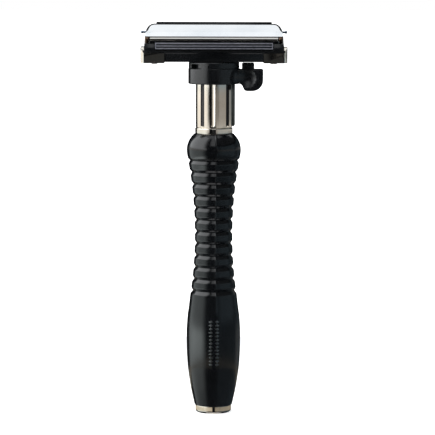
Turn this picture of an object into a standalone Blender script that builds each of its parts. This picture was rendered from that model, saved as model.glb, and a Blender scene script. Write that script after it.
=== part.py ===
"""Cartridge safety razor with a swivelling twin-blade head, a thumb-lever lock ring and a ribbed grip.

The razor stands on its end cap. The origin is the middle of the cap's flat bottom, +Z runs up the handle,
-Y is the shaving side and +X is the lever's side. All sizes below are in millimetres.
"""

import math

import bmesh
import bpy
from mathutils import Matrix, Vector

MM = 0.001

# Driving dimensions
CAP_LENGTH = 40.1  # chrome head cap, end to end
HEAD_LENGTH = 40.7  # moulded head under it
BLADE_LENGTH = 37.3
BLADE_DEPTH = 5.4
BLADE_THICKNESS = 0.15
BLADE_TILT = 26.0  # degrees that the blades fall towards the front
FOOT_THICKNESS = 2.25
GRIP_BOTTOM = 2.35
GRIP_TOP = 82.65
GRIP_MAX_RADIUS = 7.95
RIB_FIRST_Z = 36.33
RIB_PITCH = 3.5
RIB_COUNT = 11
WAIST_Z = 52.85
WAIST_RADIUS = 5.58
WAIST_CURVE = 0.00415  # growth of the rib radius with the square of the distance from the waist
BALL_CENTRE_Z = 77.95
BALL_RADIUS = 7.98
NECK_BOTTOM = 84.5
NECK_TOP = 97.2
NECK_RADIUS = 5.33
COLLAR_RADIUS = 7.55
COLLAR_TOP = 101.85
YOKE_RADIUS = 7.42
YOKE_TOP = 103.67
HEAD_BOTTOM = 103.8
SEAM = 0.1  # gap between pieces that touch on the real razor

# Joint axes and the cartridge's place, as (front, up) or up
SWIVEL_Z = 104.75
CAP_PIN = (-3.2, 112.3)
UPPER_EDGE = (4.55, 110.6)

ROUND = 32
SMALL_ROUND = 16
SMOOTH_ANGLE = math.radians(35)

FINISHES = {
    "gloss_black": ((0.006, 0.006, 0.007), 0.0, 0.16),
    "satin_black": ((0.012, 0.012, 0.013), 0.0, 0.38),
    "warm_nickel": ((0.72, 0.66, 0.55), 1.0, 0.12),
    "bright_chrome": ((0.80, 0.81, 0.82), 1.0, 0.06),
    "blade_steel": ((0.70, 0.70, 0.69), 1.0, 0.20),
    "spring_steel": ((0.42, 0.41, 0.40), 1.0, 0.30),
    "guard_rubber": ((0.045, 0.046, 0.050), 0.0, 0.55),
}


# ---------------------------------------------------------------- helpers


def new_object(name, mesh):
    """An object in the scene with its own mesh."""
    piece = bpy.data.objects.new(name, mesh)
    bpy.context.scene.collection.objects.link(piece)
    return piece


def close_mesh(name, bm):
    """Turns a closed bmesh into an object with its faces pointing out."""
    bmesh.ops.remove_doubles(bm, verts=bm.verts, dist=1e-8)
    bmesh.ops.recalc_face_normals(bm, faces=bm.faces)
    mesh = bpy.data.meshes.new(name)
    bm.to_mesh(mesh)
    bm.free()
    return new_object(name, mesh)


def turned(name, outline, steps=ROUND, axis="z", centre=(0, 0)):
    """Spins a closed (radius, along) outline about the z axis, or about an x axis at (front, up)."""
    bm = bmesh.new()
    verts = [bm.verts.new((radius * MM, 0, along * MM)) for radius, along in outline]
    edges = [bm.edges.new((a, b)) for a, b in zip(verts, verts[1:] + verts[:1])]
    bmesh.ops.spin(bm, geom=verts + edges, axis=(0, 0, 1), cent=(0, 0, 0), angle=math.tau,
                   steps=steps, use_merge=True, use_duplicate=False)
    piece = close_mesh(name, bm)
    if axis == "x":
        for vert in piece.data.vertices:
            x, y, z = vert.co
            vert.co = (z, y - centre[0] * MM, centre[1] * MM - x)
    return piece


def rod(name, radius, low, high, steps=SMALL_ROUND, axis="z", centre=(0, 0)):
    """A plain round bar."""
    outline = [(0, low), (radius, low), (radius, high), (0, high)]
    return turned(name, outline, steps, axis, centre)


def prism(name, outline, axis, low, high):
    """Extrudes an outline: (front, up) along x, (x, up) along y, or (x, y) along z."""
    place = {
        "x": lambda a, b: (low * MM, -a * MM, b * MM),
        "y": lambda a, b: (a * MM, low * MM, b * MM),
        "z": lambda a, b: (a * MM, b * MM, low * MM),
    }[axis]
    step = (high - low) * MM
    shift = {"x": (step, 0, 0), "y": (0, step, 0), "z": (0, 0, step)}[axis]
    bm = bmesh.new()
    face = bm.faces.new([bm.verts.new(place(a, b)) for a, b in outline])
    grown = bmesh.ops.extrude_face_region(bm, geom=[face])["geom"]
    bmesh.ops.translate(bm, vec=shift, verts=[g for g in grown if isinstance(g, bmesh.types.BMVert)])
    return close_mesh(name, bm)


def box(name, x, front, up):
    """A block from (low, high) pairs."""
    corners = [(front[0], up[0]), (front[1], up[0]), (front[1], up[1]), (front[0], up[1])]
    return prism(name, corners, "x", *x)


def arc(centre, radius, start, end, steps):
    """Points along a circular arc, with its angles in degrees."""
    angles = [math.radians(start + (end - start) * i / steps) for i in range(steps + 1)]
    return [(centre[0] + radius * math.cos(a), centre[1] + radius * math.sin(a)) for a in angles]


def sector(inner, outer, start, end, steps=6):
    """The outline of part of a ring, seen from above."""
    return arc((0, 0), outer, start, end, steps) + arc((0, 0), inner, end, start, steps)


def shift(piece, x, front):
    """Moves a piece's mesh level with the ground."""
    piece.data.transform(Matrix.Translation((x * MM, -front * MM, 0)))


def boolean(piece, other, operation):
    """Cuts or joins with another object, which is then only a construction shape."""
    modifier = piece.modifiers.new(f"{operation.lower()}_{other.name}", "BOOLEAN")
    modifier.operation = operation
    modifier.solver = "EXACT"
    modifier.object = other
    other.hide_render = True
    other.display_type = "WIRE"


def cut(piece, *others):
    for other in others:
        boolean(piece, other, "DIFFERENCE")


def join(piece, *others):
    for other in others:
        boolean(piece, other, "UNION")


def wire(name, points, thickness):
    """A round wire through a list of points, with closed ends."""
    curve = bpy.data.curves.new(name, "CURVE")
    curve.dimensions = "3D"
    curve.bevel_depth = thickness / 2 * MM
    curve.bevel_resolution = 1
    curve.use_fill_caps = True
    spline = curve.splines.new("POLY")
    spline.points.add(len(points) - 1)
    for point, place in zip(spline.points, points):
        point.co = (*[c * MM for c in place], 1)
    return new_object(name, curve)


def helix(radius, low, high, turns, steps_per_turn):
    """Points of a coil about z, as (x, y, along)."""
    count = int(turns * steps_per_turn)
    coil = []
    for i in range(count + 1):
        angle = math.tau * turns * i / count
        coil.append((radius * math.cos(angle), radius * math.sin(angle), low + (high - low) * i / count))
    return coil


def pivot(name, x, front, up, parent=None):
    """An empty on a joint's axis."""
    empty = new_object(name, None)
    empty.empty_display_size = 0.004
    world = Vector((x * MM, -front * MM, up * MM))
    empty.location = world - (parent.location if parent else Vector())
    empty.parent = parent
    return empty


def world_place(empty):
    """Where an unturned chain of empties has put this one."""
    return empty.location + (world_place(empty.parent) if empty.parent else Vector())


def hang(empty, *pieces):
    """Parents pieces to an empty without moving them."""
    for piece in pieces:
        piece.parent = empty
        piece.location = -world_place(empty)


def finish(slot, *pieces):
    """Gives each piece a material of its own, and smooth shading up to its edges."""
    colour, metallic, roughness = FINISHES[slot]
    for piece in pieces:
        material = bpy.data.materials.new(f"{piece.name}_{slot}")
        material.use_nodes = True
        shader = material.node_tree.nodes["Principled BSDF"]
        shader.inputs["Base Color"].default_value = (*colour, 1)
        shader.inputs["Metallic"].default_value = metallic
        shader.inputs["Roughness"].default_value = roughness
        piece.data.materials.append(material)
        if piece.type == "MESH":
            piece.data.shade_smooth()
            piece.data.set_sharp_from_angle(angle=SMOOTH_ANGLE)


# ---------------------------------------------------------------- handle


def rib_radius(z):
    """The rib crests follow a parabola about the waist."""
    return WAIST_RADIUS + WAIST_CURVE * (z - WAIST_Z) ** 2


def grip_outline():
    """The outer side of the grip, bottom to top: a swelling, eleven ribs and a flattened ball."""
    groove_depth = 0.58
    swelling = [(5.58, GRIP_BOTTOM), (5.86, 3.63), (6.26, 5.43), (6.63, 7.24), (6.93, 9.04), (7.2, 10.84),
                (7.45, 12.64), (7.64, 14.44), (7.85, 18.04), (GRIP_MAX_RADIUS, 22.0), (7.89, 25.22),
                (7.64, 28.81), (7.2, 32.39), (6.86, 35.35)]
    ribs = []
    for i in range(RIB_COUNT + 1):
        z = RIB_FIRST_Z + RIB_PITCH * i
        ribs.append((rib_radius(z) - groove_depth, z))
        if i < RIB_COUNT:
            ribs.append((rib_radius(z + 1.0), z + 1.0))
            ribs.append((rib_radius(z + RIB_PITCH - 0.9), z + RIB_PITCH - 0.9))
    ball = []
    for z in (75.7, 76.65, BALL_CENTRE_Z, 79.25, 80.45, 81.35, 81.95):
        flattening = 0.95 if z < BALL_CENTRE_Z else 1.163
        ball.append((math.sqrt(BALL_RADIUS ** 2 - (flattening * (z - BALL_CENTRE_Z)) ** 2), z))
    return swelling + ribs + ball + [(5.85, GRIP_TOP)]


TIE_ROD_RADIUS = 1.5
PLUG_RADIUS = 3.0
PLUG_TOP = 9.0
SPIGOT_RADIUS = 3.9
SPIGOT_BOTTOM = 76.85
NECK_BORE = 3.3
NECK_FLOOR = 79.85


def handle_grip():
    spigot_socket = SPIGOT_RADIUS + SEAM
    rod_bore = TIE_ROD_RADIUS + 2 * SEAM
    plug_socket = PLUG_RADIUS + SEAM
    inside = [(spigot_socket, GRIP_TOP), (spigot_socket, SPIGOT_BOTTOM - SEAM),
              (rod_bore, SPIGOT_BOTTOM - SEAM), (rod_bore, PLUG_TOP + SEAM),
              (plug_socket, PLUG_TOP + SEAM), (plug_socket, GRIP_BOTTOM)]
    grip = turned("handle_grip", grip_outline() + inside)
    finish("gloss_black", grip)


def end_cap():
    """A screwed-on nickel foot with a threaded plug for the tie rod."""
    radius = 5.3
    corner = 0.8
    thickness = FOOT_THICKNESS
    thread_bore = TIE_ROD_RADIUS + SEAM
    outline = [(0, 0)] + arc((radius - corner, corner), corner, -90, 0, 3)
    outline += [(radius, thickness), (PLUG_RADIUS, thickness), (PLUG_RADIUS, PLUG_TOP),
                (thread_bore, PLUG_TOP), (thread_bore, thickness), (0, thickness)]
    finish("warm_nickel", turned("end_cap", outline))


def tie_rod():
    """The steel rod that draws the neck and the end cap together through the grip."""
    finish("spring_steel", rod("tie_rod", TIE_ROD_RADIUS, FOOT_THICKNESS + SEAM, NECK_FLOOR - 0.4))


def neck():
    """The nickel ring, the fluted tube above it and the key let into its side."""
    ring_outer = 5.5
    ring_inner = SPIGOT_RADIUS + SEAM
    ring_top = NECK_BOTTOM - SEAM
    ring_bottom = GRIP_TOP + SEAM
    ring = turned("neck_ring", [(ring_inner, ring_bottom), (ring_outer, ring_bottom),
                                (ring_outer, ring_top), (ring_inner, ring_top)])
    thread_bore = TIE_ROD_RADIUS + SEAM
    tube = turned("neck_tube", [(thread_bore, SPIGOT_BOTTOM), (SPIGOT_RADIUS, SPIGOT_BOTTOM),
                                (SPIGOT_RADIUS, NECK_BOTTOM), (NECK_RADIUS, NECK_BOTTOM),
                                (NECK_RADIUS, NECK_TOP), (NECK_BORE, NECK_TOP),
                                (NECK_BORE, NECK_FLOOR), (thread_bore, NECK_FLOOR)])
    flute_radius = 0.5
    flute_circle = NECK_RADIUS + 0.15
    for i in range(4):
        angle = math.radians(45 + 90 * i)
        flute = rod(f"flute_cutter_{i}", flute_radius, NECK_BOTTOM - 1, NECK_TOP + 1, 12)
        flute.location = (flute_circle * math.cos(angle) * MM, flute_circle * math.sin(angle) * MM, 0)
        cut(tube, flute)
    key_inner = 4.6
    key_outer = 6.2
    key_bottom = 84.85
    key_half = 0.5
    key_corner = 0.6
    slot = box("key_slot_cutter", (key_inner - SEAM, key_outer + 1), (-key_half - SEAM, key_half + SEAM),
               (key_bottom - SEAM, NECK_TOP + 1))
    cut(tube, slot)
    key_outline = [(key_inner, key_bottom), (key_outer - key_corner, key_bottom)]
    key_outline += arc((key_outer - key_corner, key_bottom + key_corner), key_corner, -90, 0, 4)[1:]
    key_outline += [(key_outer, NECK_TOP - SEAM), (key_inner, NECK_TOP - SEAM)]
    key = prism("neck_key", key_outline, "y", -key_half, key_half)
    finish("warm_nickel", ring, tube, key)


# ---------------------------------------------------------------- yoke, plunger and lock ring

STEM_RADIUS = 5.0
YOKE_BORE = 1.85
CHEEK_INNER = 2.4
CHEEK_OUTER = 5.0
KNUCKLE_RADIUS = 2.2
SWIVEL_PIN_RADIUS = 0.8
TOOTH_ANGLES = (240.0, 256.0)  # degrees about +Z, where the lock ring's stop tooth rests
TOOTH_INNER = 6.05
LOCK_THROW = 30.0
DETENT_Z = 99.55
CLEAR = 8.0  # how far cutters reach sideways past the handle


def yoke_block():
    """The black top of the handle: a stem, a flange with a window and two cheeks for the swivel pins."""
    spigot = NECK_BORE - SEAM
    spigot_bottom = 92.85
    shoulder = NECK_TOP + SEAM
    flange_bottom = COLLAR_TOP + SEAM
    yoke = turned("yoke_block", [(YOKE_BORE, spigot_bottom), (spigot, spigot_bottom), (spigot, shoulder),
                                 (STEM_RADIUS, shoulder), (STEM_RADIUS, flange_bottom),
                                 (YOKE_RADIUS, flange_bottom), (YOKE_RADIUS, YOKE_TOP),
                                 (YOKE_BORE, YOKE_TOP)])
    knuckle_foot = 103.05
    for side, low, high in (("right", CHEEK_INNER, CHEEK_OUTER), ("left", -CHEEK_OUTER, -CHEEK_INNER)):
        outline = [(KNUCKLE_RADIUS, knuckle_foot)]
        outline += arc((0, SWIVEL_Z), KNUCKLE_RADIUS, 0, 180, 10) + [(-KNUCKLE_RADIUS, knuckle_foot)]
        join(yoke, prism(f"cheek_{side}_former", outline, "x", low, high))
    # The roof falls away at the rear, where the head's underside comes down.
    slope_start = (-KNUCKLE_RADIUS - 0.01, YOKE_TOP - 0.62)
    slope_end = (-4.7, 102.35)
    roof_above = 104.85
    roof = [slope_start, slope_end, (-CLEAR, slope_end[1]), (-CLEAR, roof_above),
            (slope_start[0], roof_above)]
    cut(yoke, prism("roof_cutter", roof, "x", -CLEAR, CLEAR))
    wedge = [(0.0, YOKE_TOP), (-2.5, YOKE_TOP - 0.725), (-2.5, roof_above), (0.0, roof_above)]
    for name, low, high in (("right", CHEEK_OUTER, CLEAR), ("left", -CLEAR, -CHEEK_OUTER),
                            ("middle", -CHEEK_INNER, CHEEK_INNER)):
        cut(yoke, prism(f"roof_wedge_{name}_cutter", wedge, "x", low, high))
    window_top = 102.95
    window = sector(TOOTH_INNER - 0.15, YOKE_RADIUS + 1, TOOTH_ANGLES[0] - LOCK_THROW - 3,
                    TOOTH_ANGLES[1] + 2, 8)
    cut(yoke, prism("window_cutter", window, "z", COLLAR_TOP - 0.5, window_top))
    cut(yoke, rod("swivel_bore_cutter", SWIVEL_PIN_RADIUS + SEAM, -CHEEK_OUTER - 1, CHEEK_OUTER + 1, 16, "x",
                  (0, SWIVEL_Z)))
    ball_pocket = rod("ball_pocket_cutter", 0.7, -5.5, -3.6, 12)
    ball_pocket.rotation_euler = (math.radians(90), 0, 0)
    ball_pocket.location = (0, 0, DETENT_Z * MM)
    cut(yoke, ball_pocket)
    finish("satin_black", yoke)


def swivel_pins():
    for side, low in (("left", -9.0), ("right", CHEEK_INNER + SEAM)):
        high = low + 9.0 - CHEEK_INNER - SEAM
        pin = rod(f"swivel_pin_{side}", SWIVEL_PIN_RADIUS, low, high, 16, "x", (0, SWIVEL_Z))
        finish("spring_steel", pin)


def detent_ball():
    """The ball that clicks the lock ring into place, in its pocket at the rear of the stem."""
    bm = bmesh.new()
    bmesh.ops.create_uvsphere(bm, u_segments=12, v_segments=8, radius=0.55 * MM)
    ball = close_mesh("detent_ball", bm)
    ball.location = (0, 4.3 * MM, DETENT_Z * MM)
    finish("spring_steel", ball)


PLUNGER_TOP = 103.85
PLUNGER_COLLAR = (91.35, 92.15)
SPRING_SEAT_TOP = 80.95


def return_plunger():
    """The sprung plunger in the neck that swings the head back, its spring and the spring's seat."""
    shaft = 1.7
    collar = 2.9
    tail = 1.5
    tail_end = 86.85
    plunger = turned("return_plunger", [(0, tail_end), (tail, tail_end), (tail, PLUNGER_COLLAR[0]),
                                        (collar, PLUNGER_COLLAR[0]), (collar, PLUNGER_COLLAR[1]),
                                        (shaft, PLUNGER_COLLAR[1]), (shaft, PLUNGER_TOP),
                                        (0, PLUNGER_TOP)], 24)
    hang(pivot("plunger_slide", 0, 0, PLUNGER_TOP), plunger)
    seat = rod("spring_seat", NECK_BORE - SEAM, NECK_FLOOR + SEAM, SPRING_SEAT_TOP, 24)
    wire_size = 0.5
    low = SPRING_SEAT_TOP + SEAM + wire_size / 2
    high = PLUNGER_COLLAR[0] - SEAM - wire_size / 2
    spring = wire("plunger_spring", helix(2.3, low, high, 6, 12), wire_size)
    finish("spring_steel", plunger, seat, spring)


def lock_ring():
    """The turning collar with its stop tooth and the dished thumb lever."""
    bore = STEM_RADIUS + SEAM
    bottom = NECK_TOP + SEAM
    bevel = 0.35
    ring = turned("lock_ring", [(bore, bottom), (COLLAR_RADIUS - bevel, bottom),
                                (COLLAR_RADIUS, bottom + bevel), (COLLAR_RADIUS, COLLAR_TOP),
                                (bore, COLLAR_TOP)])
    ledge = 101.65
    lever_bottom = 95.25
    half_width = 2.8
    outer = 14.4
    round_radius = 3.2
    lever = [(6.2, 97.75), (8.1, 97.2), (8.8, 95.65), (9.4, lever_bottom)]
    lever += arc((outer - round_radius, lever_bottom + round_radius), round_radius, -90, 0, 6)
    lever += [(outer, ledge), (6.2, ledge)]
    body = prism("lever_former", lever, "y", -half_width, half_width)
    lug = prism("lug_former", [(2.0, 101.05), (2.0, 103.55), (-0.2, 103.55), (-2.0, 103.05), (-2.0, 101.05)],
                "x", 8.2, 11.8)
    tooth = sector(TOOTH_INNER, YOKE_RADIUS - 0.1, *TOOTH_ANGLES, 3)
    tooth = prism("tooth_former", tooth, "z", 101.35, 102.8)
    join(ring, body, lug, tooth)
    dish_radius = 5.2
    dish_depth = 0.75
    for side in (-1, 1):
        bm = bmesh.new()
        bmesh.ops.create_uvsphere(bm, u_segments=40, v_segments=24, radius=dish_radius * MM)
        dish = close_mesh(f"dish_cutter_{'front' if side < 0 else 'rear'}", bm)
        dish.location = (9.7 * MM, side * (half_width + dish_radius - dish_depth) * MM, 99.05 * MM)
        cut(ring, dish)
    hang(pivot("lock_ring_axis", 0, 0, COLLAR_TOP), ring)
    finish("satin_black", ring)


# ---------------------------------------------------------------- head

HALF_HEAD = HEAD_LENGTH / 2
HALF_CAP = CAP_LENGTH / 2
CAP_PIN_RADIUS = 0.33
CAP_PIN_BORE = 0.43
GUARD_HALF = 17.2
CLIP_RIVET_X = 17.5
CLIP_INNER = 14.5
CLIP_OUTER = 21.45
CLIP_RIVET_BORE = 0.7


def head_body():
    """The moulded head: cartridge seat on top, cavity for the yoke's knuckle below."""
    outline = [(4.6, HEAD_BOTTOM), (5.0, 106.25), (5.3, 106.4), (5.7, 107.35), (5.65, 108.05), (5.35, 109.1),
               (4.65, 109.15), (4.55, 108.6), (-1.0, 111.31), (-1.9, 110.85), (-4.4, 110.85), (-4.9, 109.65),
               (-4.9, 105.85), (-4.4, HEAD_BOTTOM)]
    body = prism("head_body", outline, "x", -HALF_HEAD, HALF_HEAD)
    lug_radius = 1.3
    for name, low, high in (("left", -19.2, -18.0), ("middle", -2.0, 2.0), ("right", 18.0, 19.2)):
        lug = [(CAP_PIN[0] + lug_radius, 110.35)] + arc(CAP_PIN, lug_radius, 0, 180, 8)
        lug += [(CAP_PIN[0] - lug_radius + 0.15, 110.35)]
        join(body, prism(f"pin_lug_{name}_former", lug, "x", low, high))
    cut(body, rod("cap_pin_bore_cutter", CAP_PIN_BORE, -HALF_HEAD - 1, HALF_HEAD + 1, 12, "x", CAP_PIN))
    guard_room = [(4.75, 107.1), (6.5, 107.1), (6.5, 109.85), (4.3, 109.85), (4.3, 108.45), (4.75, 108.35)]
    cut(body, prism("guard_recess_cutter", guard_room, "x", -GUARD_HALF - 0.15, GUARD_HALF + 0.15))
    cavity_radius = KNUCKLE_RADIUS + 0.15
    half_cavity = CHEEK_OUTER + 0.15
    under = HEAD_BOTTOM - 0.95
    cavity = [(cavity_radius + 0.3, under)] + arc((0, SWIVEL_Z), cavity_radius, 0, 180, 12)
    cavity += [(-cavity_radius - 0.75, under)]
    near = CHEEK_INNER - 0.15
    for side, low, high in (("left", -half_cavity, -near), ("right", near, half_cavity)):
        cut(body, prism(f"knuckle_cavity_{side}_cutter", cavity, "x", low, high))
    cam_height = PLUNGER_TOP + SEAM
    cam_room = [(2.3, under), (2.3, cam_height), (-2.3, cam_height), (-2.3, under)]
    cut(body, prism("cam_cutter", cam_room, "x", -CHEEK_INNER + 0.14, CHEEK_INNER - 0.14))
    cut(body, rod("head_swivel_bore_cutter", SWIVEL_PIN_RADIUS + SEAM, -9.1, 9.1, 16, "x", (0, SWIVEL_Z)))
    for side, sign in (("left", -1), ("right", 1)):
        hole = rod(f"clip_rivet_hole_{side}_cutter", CLIP_RIVET_BORE, under, 105.95, 12)
        hole.location = (sign * CLIP_RIVET_X * MM, 0, 0)
        cut(body, hole)
    finish("satin_black", body)
    return body


def guard_strip():
    """The soft guard in front of the blades."""
    outline = [(4.85, 107.45), (5.85, 107.5), (5.95, 107.95), (5.65, 109.4), (5.35, 109.58), (4.85, 109.55)]
    guard = prism("guard_strip", outline, "x", -GUARD_HALF, GUARD_HALF)
    finish("guard_rubber", guard)
    return guard


def end_clip(side, sign):
    """A folded nickel clip round the bottom corner of the head, with an ear over its end."""
    wrap = [(-4.4, 103.45), (4.95, 103.45), (5.4, 106.35), (5.1, 106.35), (4.75, HEAD_BOTTOM - SEAM / 2),
            (-4.4, HEAD_BOTTOM - SEAM / 2)]
    inner, outer = sorted((sign * CLIP_INNER, sign * CLIP_OUTER))
    clip = prism(f"end_clip_{side}", wrap, "x", inner, outer)
    front_room = [(4.72, 103.75), (5.12, 106.23), (5.42, 106.35), (5.42, 106.85), (3.0, 106.85),
                  (3.0, 103.75)]
    inner_face = HALF_HEAD + SEAM
    low, high = sorted((sign * (CLIP_INNER - 1), sign * inner_face))
    cut(clip, prism(f"clip_room_{side}_cutter", front_room, "x", low, high))
    ear_top = 108.15
    corner = 0.9
    ear = [(-3.2, 103.55), (4.9, 103.55), (5.35, 106.35)]
    ear += arc((5.2 - corner, ear_top - corner), corner, 0, 90, 4)
    ear += arc((-3.2 + corner, ear_top - corner), corner, 90, 180, 4)
    low, high = sorted((sign * inner_face, sign * CLIP_OUTER))
    join(clip, prism(f"clip_ear_{side}_former", ear, "x", low, high))
    hole = rod(f"clip_hole_{side}_cutter", CLIP_RIVET_BORE, HEAD_BOTTOM - 0.95, HEAD_BOTTOM + 0.55, 12)
    hole.location = (sign * CLIP_RIVET_X * MM, 0, 0)
    cut(clip, hole)
    rivet_head = 1.1
    rivet_shaft = 0.6
    rivet = turned(f"clip_rivet_{side}", [(0, 103.0), (rivet_head * 0.7, 103.05), (rivet_head, 103.35),
                                          (rivet_shaft, 103.35), (rivet_shaft, 105.85), (0, 105.85)], 16)
    shift(rivet, sign * CLIP_RIVET_X, 0)
    finish("warm_nickel", clip, rivet)
    return clip, rivet


def cap_pin():
    """The hinge pin of the cap, with upset ends that stand out past it."""
    end = 21.55
    tip = 0.42
    outline = [(0, -end), (tip, -end + 0.1), (tip, -end + 0.45), (CAP_PIN_RADIUS, -end + 0.5),
               (CAP_PIN_RADIUS, end - 0.5), (tip, end - 0.45), (tip, end - 0.1), (0, end)]
    pin = turned("cap_pin", outline, 12, "x", CAP_PIN)
    finish("bright_chrome", pin)
    return pin


def cap_spring(side, sign):
    """A torsion coil on the cap's pin, with one leg on the head."""
    radius = 0.85
    coil = helix(radius, sign * 14.4, sign * 17.4, 4, 10)
    points = [(x, -(CAP_PIN[0] + a), CAP_PIN[1] + b) for a, b, x in coil]
    last = points[-1]
    points.append((last[0], last[1] - 0.2, last[2] - 0.7))
    spring = wire(f"cap_spring_{side}", points, 0.28)
    finish("spring_steel", spring)
    return spring


# ---------------------------------------------------------------- cap


def cap_shell():
    """The bright sheet cap, folded over the blades and bent down into an ear at each end."""
    outer = [(4.1, 111.2), (3.78, 112.3), (3.4, 112.8), (2.65, 113.15), (-0.5, 114.25), (-3.5, 114.78),
             (-4.3, 114.8)]
    inner = [(-4.3, 114.35), (-3.45, 114.33), (-0.6, 113.8), (2.45, 112.75), (3.1, 112.45), (3.38, 112.1),
             (3.68, 111.45)]
    shell = prism("cap_shell", outer + inner, "x", -HALF_CAP, HALF_CAP)
    ear_radius = 1.1
    ear = [(CAP_PIN[0] + ear_radius, 114.25)]
    ear += arc(CAP_PIN, ear_radius, 0, -180, 8) + [(CAP_PIN[0] - ear_radius + 0.05, 114.55)]
    for side, low, high in (("left", -20.0, -19.5), ("right", 19.5, 20.0)):
        join(shell, prism(f"cap_ear_{side}_former", ear, "x", low, high))
        cut(shell, rod(f"cap_ear_bore_{side}_cutter", CAP_PIN_BORE, low - 0.5, high + 0.5, 12, "x", CAP_PIN))
    finish("bright_chrome", shell)
    return shell


def cap_liner():
    """The black filler inside the cap that holds the blades down, with a ridge behind the cap's edge."""
    outline = [(3.4, 111.65), (3.2, 111.95), (2.35, 112.63), (-0.65, 113.68), (-3.45, 114.22),
               (-4.4, 114.25), (-4.4, 115.25), (-4.95, 115.3), (-4.95, 113.9), (-3.2, 113.87),
               (-0.9, 113.45), (0.05, 113.3)]
    liner = prism("cap_liner", outline, "x", -17.0, 17.0)
    finish("satin_black", liner)
    return liner


# ---------------------------------------------------------------- cartridge, in its own tilted frame

SLIT = 0.04  # gap between the stacked sheets
RIVET_ALONG = -3.1
RIVET_XS = (-13.0, 0.0, 13.0)
RIVET_BORE = 0.75


def blade_outline(edge, level):
    """A ground blade, in (front, up) of the tilted frame."""
    half = BLADE_THICKNESS / 2
    return [(edge, level), (edge - 0.9, level + half), (edge - BLADE_DEPTH, level + half),
            (edge - BLADE_DEPTH, level - half), (edge - 0.9, level - half)]


def cartridge():
    """Base, lower blade, spacer, upper blade, end blocks and rivets; all but the rivets are bored."""
    half = BLADE_LENGTH / 2
    lower_level = -0.592
    lower_edge = 0.3
    half_blade = BLADE_THICKNESS / 2
    base_top = lower_level - half_blade - SLIT
    base_bottom = -1.7
    spacer_top = -half_blade - SLIT
    spacer_bottom = lower_level + half_blade + SLIT
    tray = [(0.2, base_bottom), (0.2, base_top), (-4.8, base_top), (-4.8, base_bottom)]
    base = prism("cartridge_base", tray, "x", -half - 0.2, half + 0.2)
    lower = prism("blade_lower", blade_outline(lower_edge, lower_level), "x", -half, half)
    spacer = prism("blade_spacer", [(-1.3, spacer_bottom), (-1.3, spacer_top), (-5.0, spacer_top),
                                    (-5.0, spacer_bottom)], "x", -half + 0.3, half - 0.3)
    upper = prism("blade_upper", blade_outline(0.0, 0.0), "x", -half, half)
    stack = [base, lower, spacer, upper]
    rivets = []
    bores = []
    for i, x in enumerate(RIVET_XS):
        bore = rod(f"cartridge_rivet_bore_cutter_{i + 1}", RIVET_BORE, -2.5, 0.5, 12)
        shift(bore, x, RIVET_ALONG)
        for sheet in stack:
            cut(sheet, bore)
        rivet = turned(f"cartridge_rivet_{i + 1}", [(0, base_bottom + 0.1), (0.6, base_bottom + 0.1),
                                                    (0.6, half_blade + SLIT), (1.0, half_blade + SLIT),
                                                    (0.8, 0.27), (0, 0.3)], 12)
        shift(rivet, x, RIVET_ALONG)
        rivets.append(rivet)
        bores.append(bore)
    ends = []
    corner = 0.7
    end_top = 0.2
    for side, low, high in (("left", -20.05, -half - 0.3), ("right", half + 0.3, 20.05)):
        outline = arc((-0.55, end_top - corner), corner, 0, 90, 3)
        outline += arc((-4.3, end_top - corner), corner, 90, 180, 3) + [(-5.0, -1.6), (0.15, -1.6)]
        ends.append(prism(f"cartridge_end_{side}", outline, "x", low, high))
    finish("satin_black", base, spacer)
    finish("blade_steel", lower, upper)
    finish("warm_nickel", *rivets, *ends)
    pieces = stack + rivets + ends
    tilt(*pieces, *bores)
    return pieces


def leaf_spring(body):
    """The bowed strip in the seat that keeps the cartridge from rattling, and its pocket in the head."""
    room = [(-0.4, -2.35), (-0.4, -1.5), (-4.2, -1.5), (-4.2, -2.35)]
    pocket = prism("leaf_pocket_cutter", room, "x", -12.2, 12.2)
    tilt(pocket)
    cut(body, pocket)
    steps = 8
    span = 24.0
    rise = 0.25
    low = -2.15
    top = [(span * (i / steps - 0.5), low + rise * math.sin(math.pi * i / steps)) for i in range(steps + 1)]
    outline = top + [(x, up - 0.12) for x, up in reversed(top)]
    leaf = prism("cartridge_leaf_spring", outline, "y", 0.6, 4.0)
    tilt(leaf)
    finish("spring_steel", leaf)
    return leaf


def tilt(*pieces):
    """Turns pieces from the blades' own frame into the razor's."""
    for piece in pieces:
        piece.rotation_euler = (math.radians(BLADE_TILT), 0, 0)
        piece.location = (0, -UPPER_EDGE[0] * MM, UPPER_EDGE[1] * MM)


def main():
    for old in list(bpy.data.objects):
        bpy.data.objects.remove(old)
    end_cap()
    handle_grip()
    tie_rod()
    neck()
    yoke_block()
    swivel_pins()
    detent_ball()
    return_plunger()
    lock_ring()
    head_pivot = pivot("head_axis", 0, 0, SWIVEL_Z)
    body = head_body()
    head_pieces = [body, guard_strip(), cap_pin()]
    for side, sign in (("left", -1), ("right", 1)):
        head_pieces += end_clip(side, sign)
        head_pieces.append(cap_spring(side, sign))
    leaf = leaf_spring(body)
    hang(head_pivot, *head_pieces)
    leaf.parent = head_pivot
    leaf.location = leaf.location - head_pivot.location
    cap_pivot = pivot("cap_axis", 0, *CAP_PIN, head_pivot)
    hang(cap_pivot, cap_shell(), cap_liner())
    slide = pivot("cartridge_slide", 0, *UPPER_EDGE, head_pivot)
    for piece in cartridge():
        piece.parent = slide
        piece.location = (0, 0, 0)


main()
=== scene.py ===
"""The looks of a cartridge razor: a ribbed black grip, a nickel neck, a thumb lever and a chrome-capped head.

Sizes are in millimetres and are turned to metres by MM. Front means towards -Y, the shaving side.
"""

import math

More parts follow.
